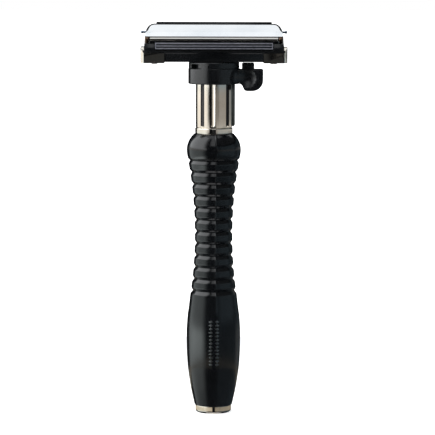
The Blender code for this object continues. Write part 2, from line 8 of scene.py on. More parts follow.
import bmesh
import bpy
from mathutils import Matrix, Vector


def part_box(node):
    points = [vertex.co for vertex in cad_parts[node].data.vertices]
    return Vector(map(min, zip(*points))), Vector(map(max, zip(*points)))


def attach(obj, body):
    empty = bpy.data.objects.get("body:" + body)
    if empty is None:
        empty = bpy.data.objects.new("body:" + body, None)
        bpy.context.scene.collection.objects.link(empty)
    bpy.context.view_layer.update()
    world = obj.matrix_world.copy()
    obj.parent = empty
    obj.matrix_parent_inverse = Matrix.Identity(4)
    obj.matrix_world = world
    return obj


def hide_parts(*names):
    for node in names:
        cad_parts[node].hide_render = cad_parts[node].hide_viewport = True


bl_info = {
    "name": "Cartridge razor",
    "version": (1, 0, 0),
    "blender": (4, 5, 0),
    "location": "View3D > Sidebar > Razor",
    "description": "Builds the fine surfaces and finishes of a cartridge razor around its solid model",
    "category": "Add Mesh",
}

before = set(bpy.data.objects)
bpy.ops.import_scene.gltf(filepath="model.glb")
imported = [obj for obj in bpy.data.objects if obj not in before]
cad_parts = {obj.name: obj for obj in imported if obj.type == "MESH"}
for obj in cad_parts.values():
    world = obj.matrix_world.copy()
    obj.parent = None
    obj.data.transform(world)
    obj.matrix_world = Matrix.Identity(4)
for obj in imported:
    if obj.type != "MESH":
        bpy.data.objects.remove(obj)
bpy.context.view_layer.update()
MM = 0.001


def low_high(node):
    """A node's lowest and highest corners in millimetres."""
    low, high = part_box(node)
    return [c / MM for c in low], [c / MM for c in high]


# ---------------------------------------------------------------- colours and nodes


def linear(code, alpha=1.0):
    """An sRGB hex colour as linear light."""
    values = [int(code[i:i + 2], 16) / 255 for i in (1, 3, 5)]
    return (*[v / 12.92 if v <= 0.04045 else ((v + 0.055) / 1.055) ** 2.4 for v in values], alpha)


def add(tree, kind, inputs=None, **settings):
    """Adds a node with its settings; an input is a value or the socket that feeds it."""
    node = tree.nodes.new(kind)
    for name, value in settings.items():
        setattr(node, name, value)
    for name, value in (inputs or {}).items():
        if isinstance(value, bpy.types.NodeSocket):
            tree.links.new(value, node.inputs[name])
        else:
            node.inputs[name].default_value = value
    return node


def surface(name, **constants):
    """A new material with one Principled shader, and where its patterns start: points in metres."""
    material = bpy.data.materials.new(name)
    material.use_nodes = True
    tree = material.node_tree
    shader = tree.nodes["Principled BSDF"]
    for socket, value in constants.items():
        shader.inputs[socket.replace("_", " ")].default_value = value
    points = add(tree, "ShaderNodeTexCoord").outputs["Object"]
    return material, tree, shader, points


def per_mm(size):
    """The texture scale that gives a feature of this size, in millimetres."""
    return 1 / (size * MM)


def ramp(tree, factor, stops):
    """A colour ramp from (position, colour) stops."""
    node = add(tree, "ShaderNodeValToRGB", {"Fac": factor})
    elements = node.color_ramp.elements
    while len(elements) < len(stops):
        elements.new(0.5)
    for element, (position, colour) in zip(elements, stops):
        element.position = position
        element.color = colour
    return node.outputs["Color"]


def grey(value):
    return (value, value, value, 1.0)


def bump(tree, shader, height, distance, strength):
    """Feeds a height pattern to the shader; distance is its depth in millimetres."""
    node = add(tree, "ShaderNodeBump", {"Height": height, "Distance": distance * MM, "Strength": strength})
    tree.links.new(node.outputs["Normal"], shader.inputs["Normal"])


# ---------------------------------------------------------------- finishes


def moulded_black(name, gloss, colour="#0b0c0e"):
    """Black ABS from a polished mould: a deep gloss with a slight orange peel and fine handling marks."""
    material, tree, shader, points = surface(name, IOR=1.53)
    peel = add(tree, "ShaderNodeTexNoise", {"Vector": points, "Scale": per_mm(1.6), "Detail": 2.0})
    cloud = add(tree, "ShaderNodeTexNoise", {"Vector": points, "Scale": per_mm(9.0), "Detail": 4.0})
    marks = add(tree, "ShaderNodeTexNoise", {"Vector": points, "Scale": per_mm(0.35), "Detail": 3.0})
    tint = ramp(tree, cloud.outputs["Fac"], [(0.3, linear(colour)), (0.75, linear("#111316"))])
    tree.links.new(tint, shader.inputs["Base Color"])
    wear = add(tree, "ShaderNodeMath", {0: cloud.outputs["Fac"], 1: marks.outputs["Fac"]}, operation="MULTIPLY")
    rough = ramp(tree, wear.outputs["Value"], [(0.12, grey(gloss)), (0.42, grey(gloss + 0.10))])
    tree.links.new(rough, shader.inputs["Roughness"])
    bump(tree, shader, peel.outputs["Fac"], 0.012, 0.5)
    return material


def satin_black():
    """Black ABS from a spark-eroded mould: an even satin with a grain finer than a tenth of a millimetre.

    The grain is drawn at 0.2 mm, because the real one is too fine to show.
    """
    material, tree, shader, points = surface("satin_moulded_abs", IOR=1.53)
    grain = add(tree, "ShaderNodeTexNoise", {"Vector": points, "Scale": per_mm(0.2), "Detail": 2.0})
    cloud = add(tree, "ShaderNodeTexNoise", {"Vector": points, "Scale": per_mm(6.0), "Detail": 4.0})
    tint = ramp(tree, cloud.outputs["Fac"], [(0.3, linear("#0c0d0f")), (0.75, linear("#141619"))])
    tree.links.new(tint, shader.inputs["Base Color"])
    rough = ramp(tree, cloud.outputs["Fac"], [(0.3, grey(0.20)), (0.7, grey(0.28))])
    tree.links.new(rough, shader.inputs["Roughness"])
    bump(tree, shader, grain.outputs["Fac"], 0.01, 0.6)
    return material


def plated_metal(name, light, dark, gloss, haze_size, drawn=(1.0, 1.0, 1.0)):
    """Plated metal: mirror bright, with a faint haze from handling and hairlines along the way it was drawn."""
    material, tree, shader, points = surface(name, Metallic=1.0)
    stretched = add(tree, "ShaderNodeMapping", {"Vector": points, "Scale": drawn})
    haze = add(tree, "ShaderNodeTexNoise", {"Vector": points, "Scale": per_mm(haze_size), "Detail": 5.0})
    hair = add(tree, "ShaderNodeTexNoise",
               {"Vector": stretched.outputs["Vector"], "Scale": per_mm(0.22), "Detail": 3.0})
    tint = ramp(tree, haze.outputs["Fac"], [(0.35, linear(light)), (0.8, linear(dark))])
    tree.links.new(tint, shader.inputs["Base Color"])
    both = add(tree, "ShaderNodeMath", {0: haze.outputs["Fac"], 1: hair.outputs["Fac"]}, operation="MULTIPLY")
    rough = ramp(tree, both.outputs["Value"], [(0.1, grey(gloss)), (0.45, grey(gloss + 0.08))])
    tree.links.new(rough, shader.inputs["Roughness"])
    bump(tree, shader, hair.outputs["Fac"], 0.002, 0.3)
    return material


def ground_steel():
    """Stainless blade strip, ground along its length: fine parallel lines and a broad soft gleam.

    The grinding lines are drawn 0.12 mm apart; the real ones are finer than that.
    """
    material, tree, shader, points = surface("ground_stainless_strip", Metallic=1.0, Roughness=0.3)
    along = add(tree, "ShaderNodeMapping", {"Vector": points, "Scale": (0.03, 1.0, 1.0)})
    lines = add(tree, "ShaderNodeTexNoise", {"Vector": along.outputs["Vector"], "Scale": per_mm(0.12), "Detail": 3.0})
    tint = ramp(tree, lines.outputs["Fac"], [(0.3, linear("#f2f0ec")), (0.8, linear("#cfcdc8"))])
    tree.links.new(tint, shader.inputs["Base Color"])
    bump(tree, shader, lines.outputs["Fac"], 0.004, 0.5)
    return material


def guard_elastomer(name="guard_elastomer", light="#2a2b30", dark="#17181b"):
    """A thermoplastic elastomer: dull and slightly blue-grey, with a dry bloom in its grooves."""
    material, tree, shader, points = surface(name, IOR=1.5)
    bloom = add(tree, "ShaderNodeTexNoise", {"Vector": points, "Scale": per_mm(0.8), "Detail": 5.0})
    tint = ramp(tree, bloom.outputs["Fac"], [(0.3, linear(light)), (0.75, linear(dark))])
    tree.links.new(tint, shader.inputs["Base Color"])
    rough = ramp(tree, bloom.outputs["Fac"], [(0.3, grey(0.42)), (0.7, grey(0.60))])
    tree.links.new(rough, shader.inputs["Roughness"])
    bump(tree, shader, bloom.outputs["Fac"], 0.01, 0.5)
    return material


FINISHES = {
    "gloss_black": lambda: moulded_black("polished_moulded_abs", 0.12),
    "satin_black": satin_black,
    "warm_nickel": lambda: plated_metal("bright_nickel_plate", "#f2ece2", "#dfd6c8", 0.05, 5.0, (1, 1, 0.1)),
    "bright_chrome": lambda: plated_metal("chromed_sheet", "#f6f8fa", "#e6eaee", 0.05, 7.0, (0.1, 1, 1)),
    "blade_steel": ground_steel,
    "spring_steel": lambda: plated_metal("drawn_spring_steel", "#a7a49f", "#84817c", 0.20, 1.5),
    "guard_rubber": guard_elastomer,
    # Dark brown strips for the floors of the tube's slots: painted shade.
    "slot_painted_shade": lambda: moulded_black("dark_brown_painted_slot_shade", 0.5, "#1a110d"),
    "stamped_foil": lambda: plated_metal("hot_stamped_foil", "#b9bdbf", "#7f8587", 0.35, 0.4),
    # A dark brown copy of the nickel for the cartridge's metal ends: painted dark reflection.
    "nickel_painted_dark": lambda: plated_metal("nickel_painted_dark_reflection", "#7a6454", "#3f3128", 0.22, 0.5),
    "pin_wire": lambda: plated_metal("tumbled_pin_wire", "#8b99a8", "#5c6874", 0.38, 0.8),
    # A pale grey copy of the guard elastomer for the rib crests: painted highlight.
    "ribs_painted_highlight": lambda: guard_elastomer("rib_elastomer_painted_highlight", "#8c8c96", "#6c6c76"),
    "dull_nickel": lambda: plated_metal("dulled_nickel_plate", "#b5b8b2", "#9a9d97", 0.28, 1.5),
}


MADE = {}


def finish(slot):
    """The one material of a slot, made when it is first asked for."""
    if slot not in MADE:
        MADE[slot] = FINISHES[slot]()
    return MADE[slot]


# ---------------------------------------------------------------- mesh helpers


def to_object(name, bm):
    """A closed bmesh in millimetres becomes an object in metres."""
    bmesh.ops.remove_doubles(bm, verts=bm.verts, dist=1e-5)
    bmesh.ops.dissolve_degenerate(bm, edges=bm.edges, dist=1e-5)
    bmesh.ops.recalc_face_normals(bm, faces=bm.faces)
    bmesh.ops.scale(bm, vec=(MM, MM, MM), verts=bm.verts)
    mesh = bpy.data.meshes.new(name)
    bm.to_mesh(mesh)
    bm.free()
    piece = bpy.data.objects.new(name, mesh)
    bpy.context.scene.collection.objects.link(piece)
    return piece


def even_angles(count):
    return [math.tau * i / count for i in range(count)]


def hold(outline):
    """Adds a point near each end of a long straight that runs into a gentle bend, to keep its shading flat."""
    near = 0.03
    held = []
    count = len(outline)
    for i, here in enumerate(outline):
        before, after, beyond = outline[i - 1], outline[(i + 1) % count], outline[(i + 2) % count]
        span = math.dist(here, after)
        held.append(here)
        if span < 0.4:
            continue
        way = math.atan2(after[1] - here[1], after[0] - here[0])
        entry = way - math.atan2(here[1] - before[1], here[0] - before[0])
        leave = math.atan2(beyond[1] - after[1], beyond[0] - after[0]) - way
        for bend, share in ((entry, near / span), (leave, 1 - near / span)):
            if 0.01 < abs((bend + math.pi) % math.tau - math.pi) < 0.6:
                held.append(tuple(a + (b - a) * share for a, b in zip(here, after)))
    return held


def lathe(name, outline, angles, shape=None):
    """Turns a closed (radius, up) outline about +Z; shape may change a point's radius."""
    outline = hold(outline)
    bm = bmesh.new()
    rings = []
    for radius, up in outline:
        if radius < 1e-6:
            rings.append([bm.verts.new((0, 0, up))] * len(angles))
            continue
        radii = [shape(radius, angle, up) if shape else radius for angle in angles]
        rings.append([bm.verts.new((r * math.cos(a), r * math.sin(a), up)) for r, a in zip(radii, angles)])
    for below, above in zip(rings, rings[1:] + rings[:1]):
        for i in range(len(angles)):
            j = (i + 1) % len(angles)
            corners = list(dict.fromkeys((below[i], below[j], above[j], above[i])))
            if len(corners) > 2:
                bm.faces.new(corners)
    return to_object(name, bm)


def lay_along_x(piece, front, up):
    """Turns a piece made about +Z so that it lies along X at this place."""
    for vert in piece.data.vertices:
        x, y, z = vert.co
        vert.co = (z, y - front * MM, up * MM - x)
    return piece


def prism(name, outline, axis, low, high):
    """Extrudes an outline: (front, up) along x, (x, up) along y, or (x, y) along z."""
    place = {"x": lambda a, b, c: (c, -a, b), "y": lambda a, b, c: (a, c, b), "z": lambda a, b, c: (a, b, c)}[axis]
    bm = bmesh.new()
    near = [bm.verts.new(place(a, b, low)) for a, b in outline]
    far = [bm.verts.new(place(a, b, high)) for a, b in outline]
    bm.faces.new(near)
    bm.faces.new(far)
    for i in range(len(outline)):
        j = (i + 1) % len(outline)
        bm.faces.new((near[i], near[j], far[j], far[i]))
    return to_object(name, bm)


def arc(centre, radius, start, end, steps):
    """Points along a circular arc, with its angles in degrees."""
    turns = [math.radians(start + (end - start) * i / steps) for i in range(steps + 1)]
    return [(centre[0] + radius * math.cos(a), centre[1] + radius * math.sin(a)) for a in turns]


def smooth_line(points, steps):
    """A smooth curve through points."""
    ends = [[2 * a - b for a, b in zip(points[0], points[1])], [2 * a - b for a, b in zip(points[-1], points[-2])]]
    chain = [ends[0], *points, ends[1]]
    line = []
    for p0, p1, p2, p3 in zip(chain, chain[1:], chain[2:], chain[3:]):
        for i in range(steps):
            t = i / steps
            line.append(tuple(0.5 * (2 * b + (c - a) * t + (2 * a - 5 * b + 4 * c - d) * t * t
                                     + (3 * b - a - 3 * c + d) * t ** 3) for a, b, c, d in zip(p0, p1, p2, p3)))
    return line + [tuple(points[-1])]


def bake(piece):
    """Replaces a piece's mesh by the one its modifiers give, and removes what cut it."""
    helpers = [m.object for m in piece.modifiers if m.type == "BOOLEAN"]
    graph = bpy.context.evaluated_depsgraph_get()
    mesh = bpy.data.meshes.new_from_object(piece.evaluated_get(graph))
    piece.modifiers.clear()
    piece.data = mesh
    for helper in helpers:
        bpy.data.objects.remove(helper)
    return piece


def combine(piece, others, operation):
    """Joins other pieces to this one, or cuts them from it."""
    for other in others:
        modifier = piece.modifiers.new(other.name, "BOOLEAN")
        modifier.operation = operation
        modifier.object = other
    return bake(piece)


def soften(piece, width, segments=3, angle=32):
    """Rounds a piece's edges, as moulding, stamping or polishing leaves them."""
    modifier = piece.modifiers.new("edges", "BEVEL")
    modifier.width = width * MM
    modifier.segments = segments
    modifier.limit_method = "ANGLE"
    modifier.angle_limit = math.radians(angle)
    modifier.use_clamp_overlap = True
    return bake(piece)


def wire(name, points, thickness, sides=10):
    """A round wire along a list of points, as a closed mesh."""
    bm = bmesh.new()
    rings = []
    along = [Vector(p) for p in points]
    side = Vector((0.3, 0.8, 0.52))
    for i, point in enumerate(along):
        direction = (along[min(i + 1, len(along) - 1)] - along[max(i - 1, 0)]).normalized()
        side = (side - direction * side.dot(direction)).normalized()
        other = direction.cross(side)
        rings.append([bm.verts.new(point + (side * math.cos(a) + other * math.sin(a)) * thickness / 2)
                      for a in even_angles(sides)])
    for here, there in zip(rings, rings[1:]):
        for i in range(sides):
            j = (i + 1) % sides
            bm.faces.new((here[i], here[j], there[j], there[i]))
    bm.faces.new(rings[0])
    bm.faces.new(rings[-1])
    return to_object(name, bm)


def dress(piece, slot, body, nodes=(), sharp=38, look=None):
    """Shades a piece smooth up to its edges, gives it its finish and lets it move with its body.

    look is for a piece whose surface differs from the others of its slot.
    """
    piece.data.materials.clear()
    piece.data.materials.append(finish(look or slot))
    piece.data.shade_smooth()
    piece.data.set_sharp_from_angle(angle=math.radians(sharp))
    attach(piece, body)
    if nodes:
        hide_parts(*nodes)
    return piece


# ---------------------------------------------------------------- settings


class GripSettings(bpy.types.PropertyGroup):
    rib_pitch: bpy.props.FloatProperty(name="Rib pitch", description="Distance from rib to rib, mm", default=3.5)
    groove_depth: bpy.props.FloatProperty(name="Groove depth", description="Depth between ribs, mm", default=0.58)
    seam_height: bpy.props.FloatProperty(name="Parting line", description="Height of the mould line, mm", default=0.13)
    mark_height: bpy.props.FloatProperty(name="Lozenge height", description="Raised marks, mm", default=0.028)


class HeadSettings(bpy.types.PropertyGroup):
    edge_rounding: bpy.props.FloatProperty(name="Edge rounding", description="Moulded edges, mm", default=0.16)
    cap_thickness: bpy.props.FloatProperty(name="Cap thickness", description="Chromed sheet, mm", default=0.42)
    cap_corner: bpy.props.FloatProperty(name="Cap corner", description="Radius of the cap's rear corners, mm",
                                        default=2.55)
    blade_tilt: bpy.props.FloatProperty(name="Blade tilt", description="Fall of the blades to the front",
                                        default=math.radians(26), subtype="ANGLE")


class StageSettings(bpy.types.PropertyGroup):
    backdrop: bpy.props.FloatVectorProperty(name="Backdrop", description="Colour behind the razor", size=4,
                                            default=linear("#ffffff"), subtype="COLOR")
    floor_glow: bpy.props.FloatProperty(name="Floor glow", description="Light of the floor itself", default=0.84)


def settings():
    scene = bpy.context.scene
    return scene.razor_grip, scene.razor_head, scene.razor_stage


# ---------------------------------------------------------------- handle

GRIP_LOW, GRIP_HIGH = low_high("handle_grip")
RING_LOW, RING_HIGH = low_high("neck_ring")
TUBE_LOW, TUBE_HIGH = low_high("neck_tube")
TUBE_RADIUS = 5.33
RIB_COUNT = 11
RIB_FIRST = 36.33
WAIST = 52.85
BALL_MIDDLE = 77.95


def grip_line(pitch, depth):
    """The grip's outer side from bottom to top."""
    swelling = smooth_line([(5.58, GRIP_LOW[2]), (5.86, 3.63), (6.26, 5.43), (6.63, 7.24), (6.93, 9.04),
                            (7.2, 10.84), (7.45, 12.64), (7.64, 14.44), (7.85, 18.04), (7.94, 22.0), (7.89, 25.22),
                            (7.64, 28.81), (7.2, 32.39), (6.88, 35.2)], 6)
    shoulder = [(6.84, 35.38), (6.66, 35.62)]
    last_groove = RIB_FIRST + RIB_COUNT * pitch
    steps = 28
    ribs = []
    for i in range(RIB_COUNT * steps + 1):
        z = RIB_FIRST + pitch * i / steps
        offset = (z - RIB_FIRST) % pitch
        away = min(offset, pitch - offset)
        crest = 5.58 + 0.00415 * (z - WAIST) ** 2
        share = min(1.0, away / 0.95)
        ribs.append((crest - depth * (1 - share) ** 1.15, z))
    ball = []
    radius = GRIP_HIGH[0]
    for i in range(25):
        z = last_groove + 0.6 + (GRIP_HIGH[2] - last_groove - 0.65) * i / 24
        stretch = 0.95 if z < BALL_MIDDLE else 1.163
        ball.append((math.sqrt(radius ** 2 - (stretch * (z - BALL_MIDDLE)) ** 2), z))
    return swelling + shoulder + ribs + ball + [(5.75, GRIP_HIGH[2])]


def seam_angles(at, count=120):
    """Even angles with a close cluster about the mould's parting lines, at one angle and opposite it."""
    extra = [at + side + step * 0.011 for side in (0, math.pi) for step in range(-6, 7)]
    return sorted(a % math.tau for a in even_angles(count) + extra)


class RAZOR_OT_grip(bpy.types.Operator):
    """Turns the ribbed grip with its parting line and its column of raised lozenges"""

    bl_idname = "razor.grip"
    bl_label = "Grip"

    def execute(self, context):
        grip, _, _ = settings()
        at = math.radians(-84)
        socket = 4.0
        inside = [(socket, GRIP_HIGH[2]), (socket, 76.75), (1.7, 76.75), (1.7, 9.1), (3.1, 9.1), (3.1, GRIP_LOW[2])]

        def with_seam(radius, angle, up):
            if radius < 5 or up < 30:
                return radius
            off = min(abs(angle - (at + side) % math.tau) for side in (0, math.pi))
            return min(radius - 0.02 + grip.seam_height * math.exp(-((off / 0.034) ** 2)), GRIP_HIGH[0] - 0.01)

        outline = grip_line(grip.rib_pitch, grip.groove_depth) + inside
        body = lathe("ribbed_grip", outline, seam_angles(at), with_seam)
        dress(body, "gloss_black", "handle", ["handle_grip"], sharp=50)
        self.lozenges(grip.mark_height)
        return {"FINISHED"}

    def lozenges(self, height):
        """Two plain columns of small raised lozenges low on the front."""
        count = 13
        first = 15.1
        pitch = 1.06
        half_wide = 0.62
        half_tall = 0.42
        line = grip_line(3.5, 0.58)

        def surface_radius(up):
            below, above = next(pair for pair in zip(line, line[1:]) if pair[0][1] <= up <= pair[1][1])
            share = (up - below[1]) / (above[1] - below[1])
            return below[0] + (above[0] - below[0]) * share

        bm = bmesh.new()
        for i in range(2 * count):
            centre = first + pitch * (i // 2)
            middle = math.radians(-90) + (-0.75 if i % 2 else 1.1) / 7.9
            layers = []
            for size, lift in ((1.0, -0.1), (1.0, 0.0), (0.72, height), (0.4, height)):
                ring = []
                for step in range(16):
                    a = math.tau * step / 16
                    reach = 1 / (abs(math.cos(a)) + abs(math.sin(a)))
                    up = centre + half_tall * size * reach * math.sin(a)
                    radius = surface_radius(up) + lift
                    turn = middle + half_wide * size * reach * math.cos(a) / radius
                    ring.append(bm.verts.new((radius * math.cos(turn), radius * math.sin(turn), up)))
                layers.append(ring)
            for below, above in zip(layers, layers[1:]):
                for k in range(16):
                    bm.faces.new((below[k], below[(k + 1) % 16], above[(k + 1) % 16], above[k]))
            bm.faces.new(layers[0])
            bm.faces.new(layers[-1])
        dress(to_object("grip_lozenges", bm), "gloss_black", "handle", sharp=25, look="stamped_foil")


class RAZOR_OT_neck(bpy.types.Operator):
    """Makes the nickel foot, the neck ring, the fluted tube and its key"""

    bl_idname = "razor.neck"
    bl_label = "Foot and neck"

    def execute(self, context):
        self.foot()
        self.ring()
        self.tube()
        self.key()
        return {"FINISHED"}

    def foot(self):
        low, high = low_high("end_cap")
        radius = high[0]
        corner = 0.8
        lip = 0.18
        top = GRIP_LOW[2] - 0.1
        outline = [(0, 0)] + arc((radius - corner, corner), corner, -90, 0, 8)
        outline += arc((radius - lip, top - lip), lip, 0, 90, 4) + [(3.0, top), (3.0, high[2]), (1.6, high[2]),
                                                                    (1.6, top), (0, top)]
        dress(lathe("foot_cap", outline, even_angles(128)), "warm_nickel", "handle", ["end_cap"], sharp=50)

    def ring(self):
        outer = RING_HIGH[0]
        inner = 4.0
        edge = 0.2
        low, high = RING_LOW[2], RING_HIGH[2]
        outline = [(inner, low)] + arc((outer - edge, low + edge), edge, -90, 0, 4)
        outline += arc((outer - edge, high - edge), edge, 0, 90, 4) + [(inner, high)]
        dress(lathe("neck_collar", outline, even_angles(128)), "warm_nickel", "handle", ["neck_ring"], sharp=50)

    def tube(self):
        """The tube: two slots floored with dark brown strips as painted shade, and a saw-toothed flute between them,
        and the same behind.
        """
        outer = TUBE_RADIUS
        bottom = RING_HIGH[2] + 0.1
        flute_end = bottom + 0.35
        slots = [math.radians(a) for a in (-129.2, -41, 50.8, 139)]
        teeth = [math.radians(a) for a in (-99.0, 81.0)]
        slot_half = 0.128
        slot_depth = 0.32
        steep = 0.02
        tooth_width = 0.235
        tooth_depth = 0.5

        def fluted(radius, angle, up):
            if radius < 5 or up < flute_end:
                return radius
            fade = min(1.0, (up - flute_end) / 0.35)
            for middle in slots:
                off = abs((angle - middle + math.pi) % math.tau - math.pi)
                if off < slot_half:
                    return radius - slot_depth * fade
            for middle in teeth:
                off = (angle - middle + math.pi) % math.tau - math.pi
                if 0 < off < steep:
                    return radius - tooth_depth * fade * off / steep
                if steep <= off < tooth_width:
                    return radius - tooth_depth * fade * (tooth_width - off) / (tooth_width - steep)
            return radius

        angles = even_angles(120)
        for middle in slots:
            angles += [middle + side * (slot_half + step) for side in (-1, 1) for step in (-0.002, 0.002)]
        for middle in teeth:
            angles += [middle, middle + steep] + [middle + tooth_width * step / 8 for step in range(1, 9)]
        steps = 4
        outside = [(outer - 0.12, bottom), (outer, bottom + 0.12)]
        outside += [(outer, flute_end + 0.35 * i / steps) for i in range(steps + 1)]
        outside += [(outer, TUBE_HIGH[2])]
        outline = [(1.6, TUBE_LOW[2]), (3.9, TUBE_LOW[2]), (3.9, bottom)] + outside
        outline += [(3.3, TUBE_HIGH[2]), (3.3, 79.85), (1.6, 79.85)]
        tube = lathe("fluted_tube", outline, sorted(a % math.tau for a in angles), fluted)
        dress(tube, "warm_nickel", "handle", ["neck_tube"], sharp=22)
        # Dark brown strips in the slot floors: painted shade inside the slots.
        inlays = []
        floor = outer - slot_depth
        for i, middle in enumerate(slots):
            ends = [math.degrees(middle) - 7, math.degrees(middle) + 7]
            strip = sector(floor - 0.05, floor + 0.1, *ends, 6)
            inlays.append(prism(f"slot_painted_shade_{i + 1}", strip, "z", flute_end + 0.3, TUBE_HIGH[2]))
        for inlay in inlays:
            dress(inlay, "satin_black", "handle", look="slot_painted_shade")

    def key(self):
        low, high = low_high("neck_key")
        round_end = 0.6
        outline = [(low[0], low[2])] + arc((high[0] - round_end, low[2] + round_end), round_end, -90, 0, 6)
        outline += [(high[0], high[2]), (low[0], high[2])]
        key = soften(prism("neck_fin", outline, "y", low[1], high[1]), 0.12)
        dress(key, "warm_nickel", "handle", ["neck_key"], look="dull_nickel")


# ---------------------------------------------------------------- yoke and lock ring

YOKE_LOW, YOKE_HIGH = low_high("yoke_block")
LOCK_LOW, LOCK_HIGH = low_high("lock_ring")
SWIVEL_UP = 104.75
COLLAR_TOP = 101.85
TOOTH = (240.0, 256.0)
LOCK_THROW = 30.0


def sector(inner, outer, start, end, steps=8):
    """The outline of part of a ring, seen from above."""
    return arc((0, 0), outer, start, end, steps) + arc((0, 0), inner, end, start, steps)


class RAZOR_OT_yoke(bpy.types.Operator):
    """Makes the black yoke on top of the neck, with its window and the two cheeks of the swivel"""

    bl_idname = "razor.yoke"
    bl_label = "Yoke"

    def execute(self, context):
        radius = YOKE_HIGH[0]
        bore = 1.85
        stem = 5.0
        bottom = COLLAR_TOP + 0.1
        top = 103.67
        spigot = 3.2
        shoulder = TUBE_HIGH[2] + 0.1
        outline = [(bore, YOKE_LOW[2]), (spigot, YOKE_LOW[2]), (spigot, shoulder), (stem, shoulder), (stem, bottom)]
        outline += [(radius, bottom)] + arc((radius - 0.25, top - 0.25), 0.25, 0, 90, 4) + [(bore, top)]
        yoke = lathe("yoke", outline, even_angles(96))
        cheeks = []
        for side, low, high in (("left", -5.0, -2.4), ("right", 2.4, 5.0)):
            cheek = [(2.2, 103.05)] + arc((0, SWIVEL_UP), 2.2, 0, 180, 24) + [(-2.2, 103.05)]
            cheeks.append(prism(f"cheek_{side}", cheek, "x", low, high))
        combine(yoke, cheeks, "UNION")
        rear = [(-2.21, 103.05), (-4.7, 102.35), (-8.0, 102.35), (-8.0, 104.85), (-2.21, 104.85)]
        cutters = [prism("roof_cut", rear, "x", -8.0, 8.0)]
        wedge = [(0.0, 103.67), (-2.5, 102.945), (-2.5, 104.85), (0.0, 104.85)]
        for name, low, high in (("left", -8.0, -5.0), ("middle", -2.4, 2.4), ("right", 5.0, 8.0)):
            cutters.append(prism(f"wedge_{name}", wedge, "x", low, high))
        window = sector(5.9, radius + 1, TOOTH[0] - LOCK_THROW - 3, TOOTH[1] + 2, 16)
        cutters.append(prism("window_cut", window, "z", bottom - 0.5, 103.25))
        combine(yoke, cutters, "DIFFERENCE")
        dress(soften(yoke, 0.08, 2), "satin_black", "handle", ["yoke_block"])
        return {"FINISHED"}


class RAZOR_OT_lock(bpy.types.Operator):
    """Makes the lock ring: the collar, its stop tooth and the dished thumb lever, as one moulding"""

    bl_idname = "razor.lock"
    bl_label = "Lock ring"

    def execute(self, context):
        outer = LOCK_HIGH[1]
        bore = 5.1
        bottom = TUBE_HIGH[2] + 0.1
        ease = 0.35
        outline = [(bore, bottom)] + arc((outer - ease, bottom + ease), ease, -90, 0, 4)
        outline += arc((outer - 0.15, COLLAR_TOP - 0.15), 0.15, 0, 90, 3) + [(bore, COLLAR_TOP)]
        ring = lathe("lock_collar", outline, even_angles(96))
        ledge = 101.65
        right = LOCK_HIGH[0]
        low = LOCK_LOW[2]
        sweep = 3.2
        half_width = 2.8
        lever = [(6.2, 97.75), (8.1, 97.2), (8.8, 95.65), (9.4, low)]
        lever += arc((right - sweep, low + sweep), sweep, -90, 0, 12) + [(right, ledge), (6.2, ledge)]
        pad = soften(prism("lever_pad", lever, "y", -half_width, half_width), 0.55, 5)
        lug_outline = [(2.0, 101.05), (2.0, 103.55), (-0.2, 103.55), (-2.0, 103.05), (-2.0, 101.05)]
        lug = soften(prism("lever_lug", lug_outline, "x", 8.2, 11.8), 0.4, 4)
        tooth = prism("stop_tooth", sector(6.05, YOKE_HIGH[0] - 0.1, *TOOTH, 4), "z", 101.35, 102.8)
        combine(ring, [pad, lug, tooth], "UNION")
        dishes = []
        dish = 5.2
        depth = 0.75
        for side in (-1, 1):
            bm = bmesh.new()
            bmesh.ops.create_uvsphere(bm, u_segments=96, v_segments=64, radius=dish)
            bmesh.ops.translate(bm, vec=(9.7, side * (half_width + dish - depth), 99.05), verts=bm.verts)
            dishes.append(to_object(f"dish_{side + 1}", bm))
        combine(ring, dishes, "DIFFERENCE")
        dress(ring, "satin_black", "lock", ["lock_ring"], sharp=35)
        return {"FINISHED"}


# ---------------------------------------------------------------- head

BODY_LOW, BODY_HIGH = low_high("head_body")
GUARD_LOW, GUARD_HIGH = low_high("guard_strip")
PIN_LOW, PIN_HIGH = low_high("cap_pin")
CAP_LOW, CAP_HIGH = low_high("cap_shell")
PIN_PLACE = (-(PIN_LOW[1] + PIN_HIGH[1]) / 2, (PIN_LOW[2] + PIN_HIGH[2]) / 2)


